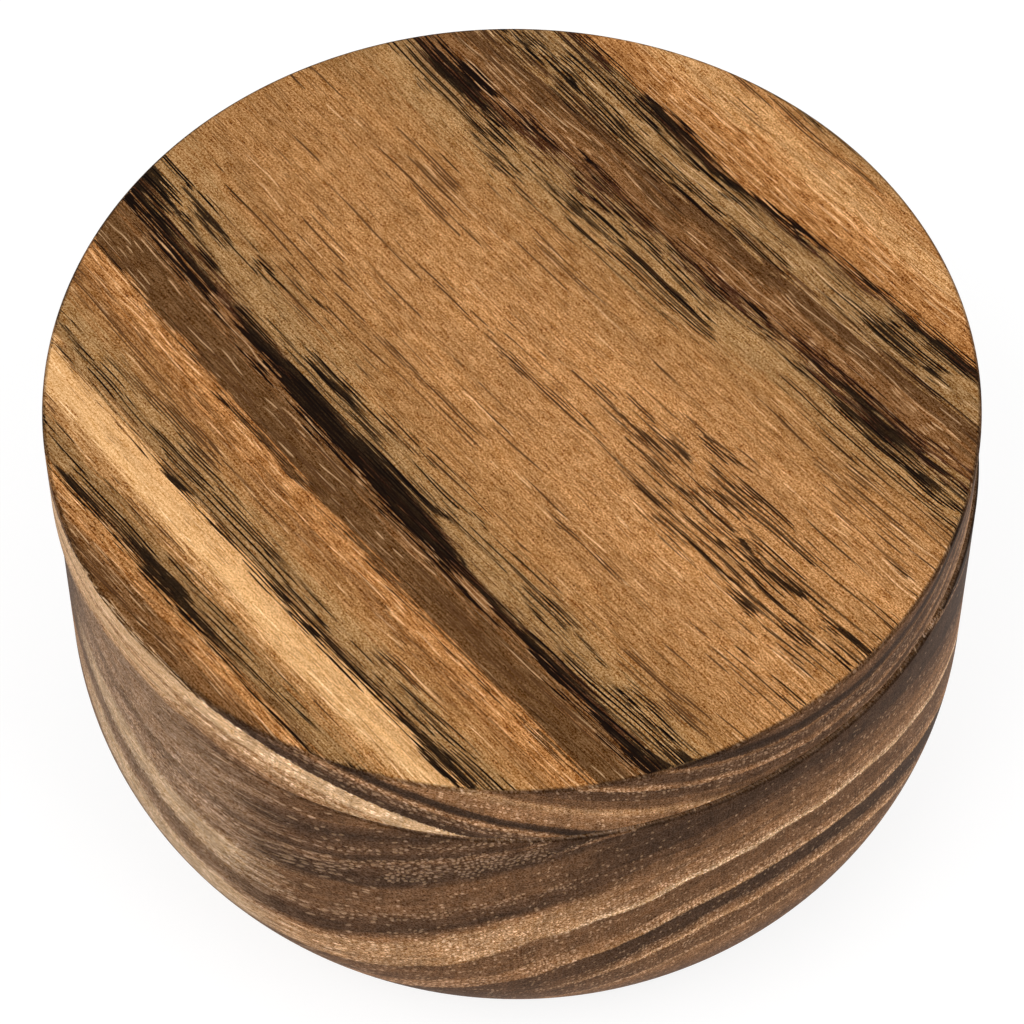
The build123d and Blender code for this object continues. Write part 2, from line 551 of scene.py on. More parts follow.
class WoodGroups:
    """The shader node groups that both pieces of wood use, each made once."""

    def __init__(self) -> None:
        """Makes every group."""
        self.fibre_frame = fibre_frame_group()
        self.ring_frame = ring_frame_group()
        self.streaks = streak_group()
        self.cover = threshold_group()
        self.vessels = vessel_group()
        self.sanded = sanded_group()
        self.cut = cut_group()


class Trait(Enum):
    """What a set of bands is asked for: its tones on the flat, its tones on the end grain, or its habit."""

    FLAT = "flat"
    END = "end"
    HABIT = "habit"


@dataclass(frozen=True)
class Band:
    """One band of growth. What is the same at both of its sides is given once.

    Attributes:
        outer: How far from the pith it ends, in millimetres.
        flat: Its tones on the flat, at the side towards the pith and at the far side.
        end: Its tones on the end grain, at the same two sides.
        lines: How much of it dark lines cover at its two sides, from 0 to 1.
        flecks: How many of its vessels are pale, from 0 to 1.
    """

    outer: float
    flat: Union[Tone, tuple[Tone, Tone]]
    end: Union[Tone, tuple[Tone, Tone]]
    lines: Union[float, tuple[float, float]] = 0.0
    flecks: float = 0.0

    def stops(self, trait: Trait) -> list[Colour]:
        """Finds the ramp colours of the band's two sides.

        Args:
            trait: What the band is asked for.

        Returns:
            The two colours. A habit holds lines and flecks in its channels.
        """
        found = {Trait.FLAT: self.flat, Trait.END: self.end, Trait.HABIT: self.lines}[trait]
        pair = found if isinstance(found, tuple) else (found, found)
        if trait is Trait.HABIT:
            return [(share, self.flecks, 0.0, 1.0) for share in pair]
        return [tone.rgba for tone in pair]


@dataclass(frozen=True)
class Pith:
    """The bent line that the growth rings go round, in millimetres along, across and below the grain."""

    across: float
    depth: float
    drift: float = 0.0
    side_bow: float = 0.0
    rise: float = 0.0
    height_bow: float = 0.0


@dataclass(frozen=True)
class Streaks:
    """A field of streaks, with its sizes in millimetres.

    Attributes:
        length: How long they are along the grain.
        breadth: How broad they are round the rings.
        thickness: How thick they are across the rings.
        shift: What makes the field unlike the others.
        swirl: How much they bend into each other.
    """

    length: float
    breadth: float
    thickness: float
    shift: float
    swirl: float = 0.0


@dataclass(frozen=True)
class Vessels:
    """A set of vessels, with its sizes in millimetres.

    Attributes:
        length: How far they run from one swerve to the next.
        spacing: How far apart they are.
        gaps: How much of them is broken off, from 0 to 1.
        shift: What makes the set unlike the others.
    """

    length: float
    spacing: float
    gaps: float
    shift: float = 0.0


@dataclass(frozen=True)
class WoodFinish:
    """Oiled wood with growth rings through the solid.

    Attributes:
        name: The material's name.
        grain_angle: The direction of the grain, in degrees from +X towards +Y.
        pith: Where the rings' centre line runs.
        first_ring: The distance from the pith at which the bands start, in millimetres.
        left_bands: The bands on the left of the split.
        right_bands: The bands on its right.
        split: How far to the right of the pith the two sets of bands meet, in millimetres.
        split_blend: How far either side of there they blend.
        waver: How far the fibres waver from straight, in millimetres.
        mottle: How much lighter and darker the clouds on the flat are, as a share of the tone.
        feather: How ragged the rings' edges are on the flat, in millimetres.
        roughness: The roughness of the oiled face.
    """

    name: str
    grain_angle: float
    pith: Pith
    first_ring: float
    left_bands: tuple[Band, ...]
    right_bands: tuple[Band, ...]
    split: float = 0.0
    split_blend: float = 8.0
    waver: float = 0.3
    mottle: float = 0.05
    feather: float = 0.34
    roughness: float = 0.55

    def build(self, groups: WoodGroups, middle: Vector) -> Material:
        """Builds the material.

        Args:
            groups: The shared node groups.
            middle: The middle of the piece's top, where the pattern is centred.

        Returns:
            The material.
        """
        log.info("finish %s: %d and %d bands", self.name, len(self.left_bands), len(self.right_bands))
        return WoodWorks(self, groups, middle).laid()


class WoodWorks(MaterialWorks):
    """A wood material being built, from the point's place in the wood to the finished surface.

    Attributes:
        finish: The finish that it follows.
        groups: The shared node groups.
        rings: The point's place along the grain, round the rings and across them.
        side: How far to the right of the pith it lies.
        mingled: Fine and coarse streaks together, which make lines and edges ragged.
        end: How squarely the surface cuts the grain.
        edge: Whether the point is on an eased edge.
        streaks: The fine streaks of the sanded face.
        speckle: Its fine speckle.
        rays: The rays that cross the rings.
        distance: The point's distance from the pith, as the ragged rings give it.
    """

    # A colour ramp has 32 stops at most, two for each band, and each stop stands a little inside its band.
    BANDS_IN_RAMP = 16
    STOP_INSET = 0.05

    # The fields of streaks that are mingled, the share of the thin ones, and the span that is spread.
    THIN = Streaks(11.0, 0.22, 0.22, shift=2.9, swirl=0.2)
    CLUMPS = Streaks(6.5, 0.9, 0.6, shift=5.7, swirl=0.15)
    THIN_SHARE = 0.62
    MINGLED_SPAN = (0.12, 0.88)
    # How ragged the rings' edges are on the end grain, in millimetres.
    END_FEATHER = 0.09

    # The layers of growth and the clouds, and how deep they and the rays are. Here and below, a depth or a
    # width that is a pair is for the flat and for the end grain.
    LAYERS = Streaks(30.0, 6.0, 0.6, shift=3.1)
    CLOUDS = Streaks(9.0, 2.2, 1.6, shift=4.3)
    LAYER_DEPTH = (0.07, 0.13)
    END_MOTTLE = 0.13
    RAY_DEPTH = 0.6

    # How bold the sanded streaks are, how much bolder in flecked wood, and how bold the speckle is: partly the
    # wood's fine texture, partly painted glints.
    STREAK_DEPTH = (2.4, 2.0)
    FLECKED_STREAKS = 1.6
    SPECKLE_DEPTH = 3.8
    # Pale wood, by its green channel, has half of both. They shift blue most, which whitens the bright specks
    # and streaks into painted glints and deepens the dark ones, and they stop at a darkest tint.
    PALE_SPAN = (0.26, 0.44)
    PALE_CALM = 0.5
    TINT_SHIFT = (0.75, 1.0, 1.5)
    DARKEST_TINT = (0.15, 0.15, 0.15)

    # The dark pores and the pale vessels: their widths, how many pores there are, and their tones.
    PORES = Vessels(5.5, spacing=0.34, gaps=0.4, shift=7.3)
    PORE_WIDTH = (0.17, 0.2)
    PORE_SHARE = 0.8
    PORE_STRENGTH = 0.75
    PORE_TINT = (0.42, 0.36, 0.3)
    FLECKS = Vessels(8.0, spacing=0.5, gaps=0.25)
    FLECK_WIDTH = (0.22, 0.4)
    FLECK_PALENESS = (0.5, 0.25)
    FLECK_TINT = (2.0, 2.3, 2.9)
    # A slanting cut shows the pale vessels less than a square one or a flat.
    FLECK_STRENGTH = (0.25, 0.95)

    # The dark lines: hairs in loose clusters, and blots where the lines crowd. They follow the streaks, are
    # faint on the end grain, and turn from brown to ink as they crowd.
    CLUSTERS = Streaks(30.0, 4.0, 4.0, shift=6.1)
    CLUSTER_REACH = 1.1
    HAIRS = Vessels(15.0, spacing=0.32, gaps=0.35, shift=2.2)
    HAIR_WIDTH = 0.28
    HAIR_CROWDING = 2.4
    HAIR_STRENGTH = 1.3
    BLOT_SPAN = (0.36, 0.95)
    MOST_BLOTTED = 0.95
    BLOT_SOFTNESS = 0.06
    LINE_STREAKS = (0.82, 1.12)
    LINE_DEPTH = (0.97, 0.15)
    INK_SPAN = (0.14, 0.36)

    # How dark every surface that slopes partly upward is made, such as the eased edges and the cavity's
    # rounded corner, as a share of the face's tone; and the surface's gloss and relief.
    SLOPE_DARKENING = 0.6
    GLOSS_SPREAD = 0.1
    SPECULAR = 0.02
    BUMP_STRENGTH = 0.35
    BUMP_DEPTH = 0.05

    def __init__(self, finish: WoodFinish, groups: WoodGroups, middle: Vector) -> None:
        """Finds the point's place in the wood.

        Args:
            finish: The finish that it follows.
            groups: The shared node groups.
            middle: The middle of the piece's top, where the pattern is centred.
        """
        super().__init__(finish.name)
        self.finish = finish
        self.groups = groups
        pith = finish.pith
        angle = math.radians(finish.grain_angle)
        point = self.add("ShaderNodeTexCoord").outputs
        fibre = self.group(
            groups.fibre_frame, Place=point["Object"], Middle=middle, Grain_Angle=angle, Waver=finish.waver
        ).outputs
        framed = self.group(
            groups.ring_frame, Fibre=fibre["Fibre"], Pith_Across=pith.across, Pith_Depth=pith.depth,
            Drift=pith.drift, Side_Bow=pith.side_bow, Rise=pith.rise, Height_Bow=pith.height_bow,
        ).outputs
        self.rings = framed["Rings"]
        self.side = framed["Side"]
        thin = self.times(self.field(self.THIN), self.THIN_SHARE)
        mixture = self.math("MULTIPLY_ADD", self.field(self.CLUMPS), 1.0 - self.THIN_SHARE, thin)
        self.mingled = self.ease(mixture, *self.MINGLED_SPAN)
        cut = self.group(groups.cut, Normal=point["Normal"], Grain_Angle=angle, Ragged=mixture).outputs
        self.end = cut["End Grain"]
        self.edge = cut["Eased Edge"]
        sanded = self.group(groups.sanded, Fibre=fibre["Plain Fibre"], Rings=self.rings).outputs
        self.streaks = sanded["Streaks"]
        self.speckle = sanded["Speckle"]
        self.rays = sanded["Rays"]
        ragged = self.times(self.centred(self.mingled), self.by_cut(finish.feather, self.END_FEATHER))
        self.distance = self.plus(framed["Distance"], ragged)

    def centred(self, value: Value, reach: float = 1.0) -> NodeSocket:
        """Returns a value between 0 and 1 spread evenly over the reach either side of 0."""
        return self.remap(value, -reach, reach)

    def by_cut(self, flat: float, end: float) -> NodeSocket:
        """Returns a value that goes from one on the flat to another on the end grain."""
        return self.remap(self.end, flat, end)

    def field(self, kind: Streaks) -> NodeSocket:
        """Adds a field of streaks, from 0 to 1, and returns it."""
        return self.group(
            self.groups.streaks, Rings=self.rings, Length=kind.length, Breadth=kind.breadth,
            Thickness=kind.thickness, Shift=kind.shift, Swirl=kind.swirl,
        ).outputs["Field"]

    def vessels(self, kind: Vessels, width: Value, share: Value) -> NodeSocket:
        """Adds a set of vessels with a width, of which a share is there, and returns their mask."""
        return self.group(
            self.groups.vessels, Rings=self.rings, Length=kind.length, Spacing=kind.spacing, Width=width,
            Share=share, Gaps=kind.gaps, Shift=kind.shift,
        ).outputs["Mask"]

    def ramp(self, place: NodeSocket, stops: Sequence[tuple[float, Colour]]) -> NodeSocket:
        """Adds one colour ramp.

        Args:
            place: The place on the ramp, from 0 to 1.
            stops: Its stops, each a place and a colour.

        Returns:
            The colour at the place.
        """
        node = self.add("ShaderNodeValToRGB", [place])
        elements = node.color_ramp.elements
        while len(elements) < len(stops):
            elements.new(1.0)
        for element, (position, color) in zip(elements, stops):
            element.position = position
            element.color = color
        return node.outputs[0]

    def banded(self, bands: Sequence[Band], trait: Trait) -> NodeSocket:
        """Colours the rings from a list of bands, with another ramp wherever one is full.

        Args:
            bands: The bands, from the pith outwards.
            trait: What is asked of them.

        Returns:
            The colour.
        """
        result: Optional[NodeSocket] = None
        start = self.finish.first_ring
        for first in range(0, len(bands), self.BANDS_IN_RAMP):
            group = bands[first:first + self.BANDS_IN_RAMP]
            span = group[-1].outer - start
            stops: list[tuple[float, Colour]] = []
            inner = start
            for band in group:
                near, far = band.stops(trait)
                stops.append(((inner - start + self.STOP_INSET) / span, near))
                stops.append(((band.outer - start - self.STOP_INSET) / span, far))
                inner = band.outer
            colour = self.ramp(self.over(self.minus(self.distance, start), span), stops)
            if result is not None:
                colour = self.blend(self.math("GREATER_THAN", self.distance, start), result, colour)
            result = colour
            start = inner
        return result

    def both_sides(self, trait: Trait) -> NodeSocket:
        """Blends what the left and the right bands give.

        Args:
            trait: What the bands are asked for.

        Returns:
            The colour.
        """
        finish = self.finish
        share = self.ease(self.side, finish.split - finish.split_blend, finish.split + finish.split_blend)
        left = self.banded(finish.left_bands, trait)
        right = self.banded(finish.right_bands, trait)
        return self.blend(share, left, right)

    def shaded(self, tone: NodeSocket, fleck_share: NodeSocket) -> NodeSocket:
        """Lays the layers, the clouds, the rays, the streaks and the speckle over the tone.

        Args:
            tone: The tone of the bands.
            fleck_share: How many vessels are pale there.

        Returns:
            The colour.
        """
        layered = self.times(self.centred(self.field(self.LAYERS)), self.by_cut(*self.LAYER_DEPTH))
        mottle = self.by_cut(self.finish.mottle, self.END_MOTTLE)
        clouded = self.times(self.centred(self.field(self.CLOUDS)), mottle)
        rayed = self.times(self.minus(self.rays, NOISE_MIDDLE), self.times(self.end, self.RAY_DEPTH))
        colour = self.scale(tone, self.plus(self.plus(layered, clouded), self.plus(rayed, 1.0)))
        bold = self.math("MULTIPLY_ADD", fleck_share, self.FLECKED_STREAKS, self.by_cut(*self.STREAK_DEPTH))
        streaked = self.times(self.minus(self.streaks, NOISE_MIDDLE), bold)
        speckled = self.times(self.minus(self.speckle, NOISE_MIDDLE), self.SPECKLE_DEPTH)
        _, green, _ = self.split(tone)
        calm = self.remap(self.ease(green, *self.PALE_SPAN), 1.0, self.PALE_CALM)
        fine = self.times(self.plus(streaked, speckled), calm)
        # The bright specks and streaks, whitened by the blue shift, are partly painted glints.
        tint = self.vector("MULTIPLY_ADD", self.join(fine, fine, fine), self.TINT_SHIFT, (1.0, 1.0, 1.0))
        return self.vector("MULTIPLY", colour, self.vector("MAXIMUM", tint, self.DARKEST_TINT))

    def pored(self, colour: NodeSocket, tone: NodeSocket, fleck_share: NodeSocket) -> NodeSocket:
        """Draws the dark pores and the pale vessels.

        Args:
            colour: The colour so far.
            tone: The tone of the bands.
            fleck_share: How many vessels are pale there.

        Returns:
            The colour with pores and vessels.
        """
        pores = self.vessels(self.PORES, self.by_cut(*self.PORE_WIDTH), self.PORE_SHARE)
        dark = self.vector("MULTIPLY", tone, self.PORE_TINT)
        colour = self.blend(self.times(pores, self.PORE_STRENGTH), colour, dark)
        flecks = self.vessels(self.FLECKS, self.by_cut(*self.FLECK_WIDTH), fleck_share)
        lightened = self.vector("MULTIPLY", colour, self.FLECK_TINT)
        pale = self.blend(self.by_cut(*self.FLECK_PALENESS), lightened, Tone.FLECK.rgba)
        square_on = self.math("ABSOLUTE", self.by_cut(-1.0, 1.0))
        return self.blend(self.times(flecks, self.remap(square_on, *self.FLECK_STRENGTH)), colour, pale)

    def inked(self, colour: NodeSocket, line_share: NodeSocket) -> NodeSocket:
        """Draws the dark lines: fine hairs everywhere, and blots where they crowd.

        Args:
            colour: The colour so far.
            line_share: How much of the wood the lines cover there.

        Returns:
            The colour with lines.
        """
        spare = self.times(line_share, self.minus(1.0, line_share))
        clusters = self.centred(self.field(self.CLUSTERS), self.CLUSTER_REACH)
        crowd = self.math("MULTIPLY_ADD", clusters, spare, line_share)
        hairs = self.vessels(self.HAIRS, self.HAIR_WIDTH, self.times(crowd, self.HAIR_CROWDING))
        blot_share = self.times(self.ease(crowd, *self.BLOT_SPAN), self.MOST_BLOTTED)
        blots = self.group(
            self.groups.cover, Field=self.mingled, Share=blot_share, Softness=self.BLOT_SOFTNESS
        ).outputs["Mask"]
        depth = self.times(self.remap(self.streaks, *self.LINE_STREAKS), self.by_cut(*self.LINE_DEPTH))
        lines = self.times(self.math("MAXIMUM", self.times(hairs, self.HAIR_STRENGTH), blots), depth)
        ink = self.blend(self.ease(line_share, *self.INK_SPAN), Tone.DEEP_BROWN.rgba, Tone.INK.rgba)
        return self.blend(lines, colour, ink)

    def laid(self) -> Material:
        """Lays the tones, the figure and the lines over each other.

        Returns:
            The finished material.
        """
        tone = self.blend(self.end, self.both_sides(Trait.FLAT), self.both_sides(Trait.END))
        line_share, fleck_share, _ = self.split(self.both_sides(Trait.HABIT))
        colour = self.pored(self.shaded(tone, fleck_share), tone, fleck_share)
        colour = self.inked(colour, line_share)
        colour = self.scale(colour, self.remap(self.edge, 1.0, self.SLOPE_DARKENING))
        roughness = self.finish.roughness
        gloss = self.remap(self.streaks, roughness - self.GLOSS_SPREAD, roughness + self.GLOSS_SPREAD)
        bump = self.bump(self.streaks, self.BUMP_STRENGTH, self.BUMP_DEPTH)
        return self.paint(colour, gloss, bump, Specular_IOR_Level=self.SPECULAR)


LID_WOOD = WoodFinish(
    name="lid_wood",
    grain_angle=-49.4,
    pith=Pith(across=3.8, depth=-69.1, side_bow=0.0006, rise=0.0197),
    first_ring=67.6,
    left_bands=(
        Band(68.9, (Tone.HONEY, Tone.HEART_TAN), Tone.LOAM, lines=(0.38, 0.24), flecks=0.12),
        Band(70.6, (Tone.HEART_TAN, Tone.HONEY), (Tone.LOAM, Tone.UMBER), lines=(0.05, 0.08), flecks=0.12),
        Band(71.3, (Tone.HONEY, Tone.OLIVE_TAN), (Tone.PEAT, Tone.SOOT), lines=(0.12, 0.4)),
        Band(72.2, (Tone.OLIVE_TAN, Tone.OLIVE), (Tone.SOOT, Tone.PEAT), lines=(0.42, 0.72)),
        Band(72.4, (Tone.OLIVE, Tone.MOSS), (Tone.UMBER, Tone.LOAM), lines=(0.7, 0.75), flecks=0.2),
        Band(72.95, (Tone.DEEP_BROWN, Tone.RUST), (Tone.CLAY, Tone.LOAM), lines=(0.8, 0.85), flecks=0.2),
        Band(73.3, Tone.CHESTNUT, Tone.UMBER, lines=(0.1, 0.0), flecks=1.0),
        Band(74.5, Tone.BROWN, Tone.UMBER, lines=(0.1, 0.15), flecks=0.5),
        Band(74.85, (Tone.BROWN, Tone.DEEP_BROWN), (Tone.UMBER, Tone.LOAM), lines=(0.2, 0.4)),
        Band(75.3, Tone.ORANGE_TAN, (Tone.LOAM, Tone.CLAY), flecks=0.8),
        Band(75.75, Tone.ORANGE_TAN, Tone.CLAY, flecks=1.0),
        Band(76.2, (Tone.AMBER, Tone.CHESTNUT), Tone.UMBER, flecks=0.6),
        Band(76.5, (Tone.CHESTNUT, Tone.AMBER), Tone.UMBER, lines=0.1, flecks=0.2),
        Band(77.4, Tone.HONEY, Tone.UMBER, lines=(0.12, 0.22), flecks=0.2),
        Band(78.3, Tone.OLIVE_TAN, Tone.LOAM, lines=(0.24, 0.38)),
        Band(79.0, Tone.OLIVE, (Tone.LOAM, Tone.CLAY), lines=(0.42, 0.46)),
        Band(79.45, (Tone.OLIVE, Tone.CHESTNUT), Tone.BUFF, lines=(0.5, 0.6)),
        Band(80.6, (Tone.PALE_TAN, Tone.PALE), (Tone.BUFF, Tone.CLAY), flecks=0.15),
        Band(81.4, Tone.PALE, Tone.CLAY, flecks=0.15),
        Band(82.4, (Tone.LIGHT_TAN, Tone.HONEY), Tone.CLAY, lines=(0.0, 0.12), flecks=0.3),
        Band(82.85, (Tone.OLIVE, Tone.MOSS), (Tone.CLAY, Tone.LOAM), lines=(0.3, 0.45)),
        Band(83.7, Tone.OLIVE, (Tone.PEAT, Tone.SOOT), lines=(0.46, 0.55)),
        Band(84.25, (Tone.MOSS, Tone.BROWN), (Tone.SOOT, Tone.LOAM), lines=(0.6, 0.75)),
        Band(84.95, (Tone.HONEY, Tone.ORANGE_TAN), Tone.CLAY, flecks=1.0),
        Band(85.6, (Tone.ORANGE_TAN, Tone.CHESTNUT), (Tone.LOAM, Tone.UMBER), flecks=0.9),
        Band(86.2, (Tone.CHESTNUT, Tone.BROWN), Tone.UMBER, flecks=0.9),
        Band(87.45, (Tone.CHESTNUT, Tone.BROWN), Tone.PEAT, lines=(0.15, 0.3), flecks=0.15),
        Band(89.8, Tone.CREAM, Tone.CREAM, flecks=0.3),
        Band(90.6, Tone.BUFF, Tone.BUFF, flecks=0.3),
        Band(91.3, Tone.CREAM, (Tone.CREAM, Tone.BUFF), flecks=0.5),
        Band(93.0, (Tone.CREAM, Tone.BUFF), (Tone.BUFF, Tone.CLAY), flecks=0.3),
        Band(97.0, (Tone.SHEEN_GREY_TAN, Tone.SHEEN_GREY_BROWN), (Tone.LOAM, Tone.UMBER), flecks=0.3),
    ),
    right_bands=(
        Band(68.9, (Tone.HONEY, Tone.HEART_TAN), Tone.LOAM, lines=(0.38, 0.24), flecks=0.12),
        Band(70.5, (Tone.HEART_TAN, Tone.HONEY), (Tone.LOAM, Tone.UMBER), lines=(0.07, 0.1), flecks=0.12),
        Band(71.2, (Tone.HONEY, Tone.OLIVE_TAN), (Tone.PEAT, Tone.SOOT), lines=(0.2, 0.32)),
        Band(72.2, (Tone.OLIVE_TAN, Tone.OLIVE), (Tone.SOOT, Tone.UMBER), lines=(0.34, 0.42)),
        Band(72.7, Tone.RUST, (Tone.CLAY, Tone.LOAM), lines=(0.66, 0.5), flecks=0.2),
        Band(73.6, Tone.CHESTNUT, Tone.UMBER, lines=(0.08, 0.05), flecks=0.9),
        Band(74.6, (Tone.BROWN, Tone.DEEP_BROWN), Tone.UMBER, lines=(0.1, 0.35), flecks=0.4),
        Band(75.2, Tone.OLIVE, Tone.LOAM, lines=(0.46, 0.5), flecks=0.4),
        Band(75.9, Tone.OLIVE, (Tone.CLAY, Tone.LOAM), lines=(0.46, 0.36), flecks=0.6),
        Band(76.55, Tone.OLIVE, Tone.UMBER, lines=(0.34, 0.44)),
        Band(76.95, Tone.RUST, (Tone.UMBER, Tone.LOAM), lines=(0.7, 0.5)),
        Band(79.3, (Tone.AMBER, Tone.ORANGE_TAN), (Tone.LOAM, Tone.CLAY), flecks=1.0),
        Band(81.2, Tone.LIGHT_TAN, (Tone.BUFF, Tone.CLAY), lines=(0.0, 0.08), flecks=0.2),
        Band(
            83.2, (Tone.ORANGE_TAN, Tone.OLIVE_TAN), (Tone.CLAY, Tone.UMBER), lines=(0.15, 0.35), flecks=0.2,
        ),
        Band(86.0, (Tone.BROWN, Tone.DEEP_BROWN), (Tone.PEAT, Tone.UMBER), flecks=0.4),
        Band(97.0, (Tone.CHESTNUT, Tone.MOSS), (Tone.UMBER, Tone.PEAT), lines=(0.1, 0.3), flecks=0.3),
    ),
)

BODY_WOOD = WoodFinish(
    name="body_wood",
    grain_angle=-42.2,
    pith=Pith(across=-4.3, depth=95.2, drift=0.294, side_bow=-0.00926, rise=-0.071, height_bow=-0.00089),
    first_ring=18.0,
    split=-25.0,
    split_blend=8.0,
    waver=0.45,
    mottle=0.16,
    # The flat tones of these bands carry a painted sheen over the side grain's own paleness.
    left_bands=(
        Band(28.0, (Tone.SHEEN_GREY_TAN, Tone.SHEEN_GREY_BROWN), (Tone.LOAM, Tone.UMBER), flecks=0.06),
        Band(43.0, (Tone.SHEEN_GREY_TAN, Tone.SHEEN_GREY_BROWN), (Tone.CLAY, Tone.UMBER), flecks=0.06),
        Band(51.5, (Tone.SAND, Tone.SHEEN_GREY_TAN), (Tone.LOAM, Tone.CLAY), flecks=0.1),
        Band(56.0, (Tone.SHEEN_GREY_BROWN, Tone.SHEEN_GREY_TAN), (Tone.LOAM, Tone.UMBER), flecks=0.2),
        Band(61.0, Tone.SHEEN_GREY_BROWN, Tone.UMBER, flecks=0.15),
        Band(63.8, (Tone.SAND, Tone.SHEEN_GREY_TAN), Tone.CLAY, flecks=0.9),
        Band(67.8, (Tone.SHEEN_GREY_TAN, Tone.SHEEN_GREY_BROWN), Tone.LOAM, flecks=0.3),
        Band(72.8, Tone.SAND, Tone.BUFF, flecks=0.55),
        Band(73.6, (Tone.SAND, Tone.SHEEN_GREY_TAN), Tone.CLAY, flecks=0.4),
        Band(74.3, Tone.SHEEN_GREY_TAN, (Tone.LOAM, Tone.UMBER), flecks=0.2),
        Band(76.6, Tone.SHEEN_GREY_BROWN, (Tone.PEAT, Tone.UMBER), flecks=0.15),
        Band(77.8, (Tone.SHEEN_GREY_BROWN, Tone.SAND), (Tone.UMBER, Tone.LOAM), flecks=0.9),
        Band(81.7, Tone.SAND, Tone.LOAM, flecks=0.12),
        Band(82.9, (Tone.SAND, Tone.SHEEN_GREY_TAN), (Tone.LOAM, Tone.PEAT), flecks=0.1),
        Band(83.4, Tone.SHEEN_GREY_TAN, Tone.PEAT, flecks=0.3),
        Band(86.2, Tone.SHEEN_GREY_TAN, (Tone.PEAT, Tone.UMBER), flecks=1.0),
        Band(87.0, Tone.SHEEN_GREY_BROWN, (Tone.LOAM, Tone.UMBER), flecks=1.0),
        Band(88.2, Tone.SHEEN_GREY_BROWN, (Tone.PEAT, Tone.UMBER), flecks=0.2),
        Band(89.2, Tone.SHEEN_GREY_TAN, Tone.UMBER, flecks=0.9),
        Band(90.8, Tone.SHEEN_GREY_TAN, (Tone.UMBER, Tone.PEAT), flecks=0.3),
        Band(92.9, Tone.SHEEN_GREY_TAN, (Tone.PEAT, Tone.UMBER), flecks=0.15),
        Band(97.0, (Tone.SHEEN_GREY_TAN, Tone.SHEEN_GREY_BROWN), Tone.LOAM, flecks=0.15),
        Band(120.0, (Tone.SHEEN_GREY_TAN, Tone.SHEEN_GREY_BROWN), (Tone.UMBER, Tone.LOAM), flecks=0.2),
    ),
    right_bands=(
        Band(46.4, Tone.SHEEN_GREY_BROWN, (Tone.UMBER, Tone.LOAM), flecks=0.08),
        Band(51.2, (Tone.SHEEN_GREY_BROWN, Tone.SHEEN_GREY_TAN), (Tone.LOAM, Tone.CLAY), flecks=0.15),
        Band(51.7, (Tone.SAND, Tone.SHEEN_GREY_TAN), (Tone.BUFF, Tone.CLAY), flecks=1.0),
        Band(55.5, (Tone.SHEEN_GREY_BROWN, Tone.BARK), Tone.LOAM, flecks=0.3),
        Band(56.3, Tone.SAND, Tone.BUFF, flecks=1.0),
        Band(58.2, (Tone.SHEEN_GREY_TAN, Tone.SHEEN_GREY_BROWN), (Tone.CLAY, Tone.UMBER), flecks=0.6),
        Band(61.15, (Tone.SHEEN_GREY_BROWN, Tone.BARK), Tone.PEAT, flecks=0.1),
        Band(61.8, Tone.SAND, Tone.BUFF, flecks=1.0),
        Band(63.1, Tone.SHEEN_GREY_TAN, Tone.CLAY, flecks=0.9),
        Band(64.0, (Tone.SHEEN_GREY_TAN, Tone.SHEEN_GREY_BROWN), Tone.LOAM, flecks=0.4),
        Band(67.5, Tone.SHEEN_GREY_BROWN, Tone.LOAM, flecks=0.15),
        Band(68.6, Tone.SAND, (Tone.CREAM, Tone.BUFF), flecks=1.0),
        Band(70.2, (Tone.SAND, Tone.SHEEN_GREY_TAN), Tone.CLAY, flecks=0.7),
        Band(71.4, Tone.SHEEN_GREY_TAN, (Tone.CLAY, Tone.LOAM), flecks=0.3),
        Band(73.2, (Tone.SHEEN_GREY_TAN, Tone.SHEEN_GREY_BROWN), (Tone.CLAY, Tone.LOAM), flecks=0.12),
        Band(74.7, Tone.SHEEN_GREY_BROWN, Tone.LOAM, flecks=0.2),
        Band(76.8, (Tone.SHEEN_GREY_BROWN, Tone.BARK), Tone.UMBER, flecks=0.15),
        Band(83.1, Tone.BARK, Tone.PEAT, flecks=0.06),
        Band(83.6, Tone.SHEEN_GREY_TAN, Tone.LOAM, flecks=1.0),
        Band(92.8, (Tone.BARK, Tone.SHEEN_GREY_BROWN), Tone.SOOT, flecks=0.1),
        Band(120.0, (Tone.SHEEN_GREY_TAN, Tone.SHEEN_GREY_BROWN), (Tone.UMBER, Tone.LOAM), flecks=0.2),
    ),
)


class Metal(ScreenColour):
    """The metals of the hidden hardware."""

    STEEL = (196, 196, 198)
    NICKEL = (206, 200, 188)


@dataclass(frozen=True)
class MetalFinish:
    """Bare or plated metal with fine scratches.

    Attributes:
        name: The material's name.
        metal: Which metal it is.
        roughness: Its roughness between the scratches.
        scratch: How far apart the scratches are, in millimetres.
    """

    name: str
    metal: Metal
    roughness: float
    scratch: float

    STRETCH = (1.0, 0.15, 1.0)
    SCRATCHED_TONE = 0.8
    SMOOTHEST = 0.7
    ROUGHEST = 1.5

    def build(self) -> Material:
        """Builds the material.

        Returns:
            The material.
        """
        works = MaterialWorks(self.name)
        place = works.scale(works.add("ShaderNodeTexCoord").outputs["Object"], PER_METRE / self.scratch)
        scuffs = works.noise(works.vector("MULTIPLY", place, self.STRETCH), detail=4.0, rough=0.7)
        base = self.metal.rgba
        colour = works.blend(scuffs, base, works.scale(base[:3], self.SCRATCHED_TONE))
        gloss = works.remap(scuffs, self.roughness * self.SMOOTHEST, self.roughness * self.ROUGHEST)
        return works.paint(colour, gloss, works.bump(scuffs, strength=0.15, depth=0.01), Metallic=1.0)


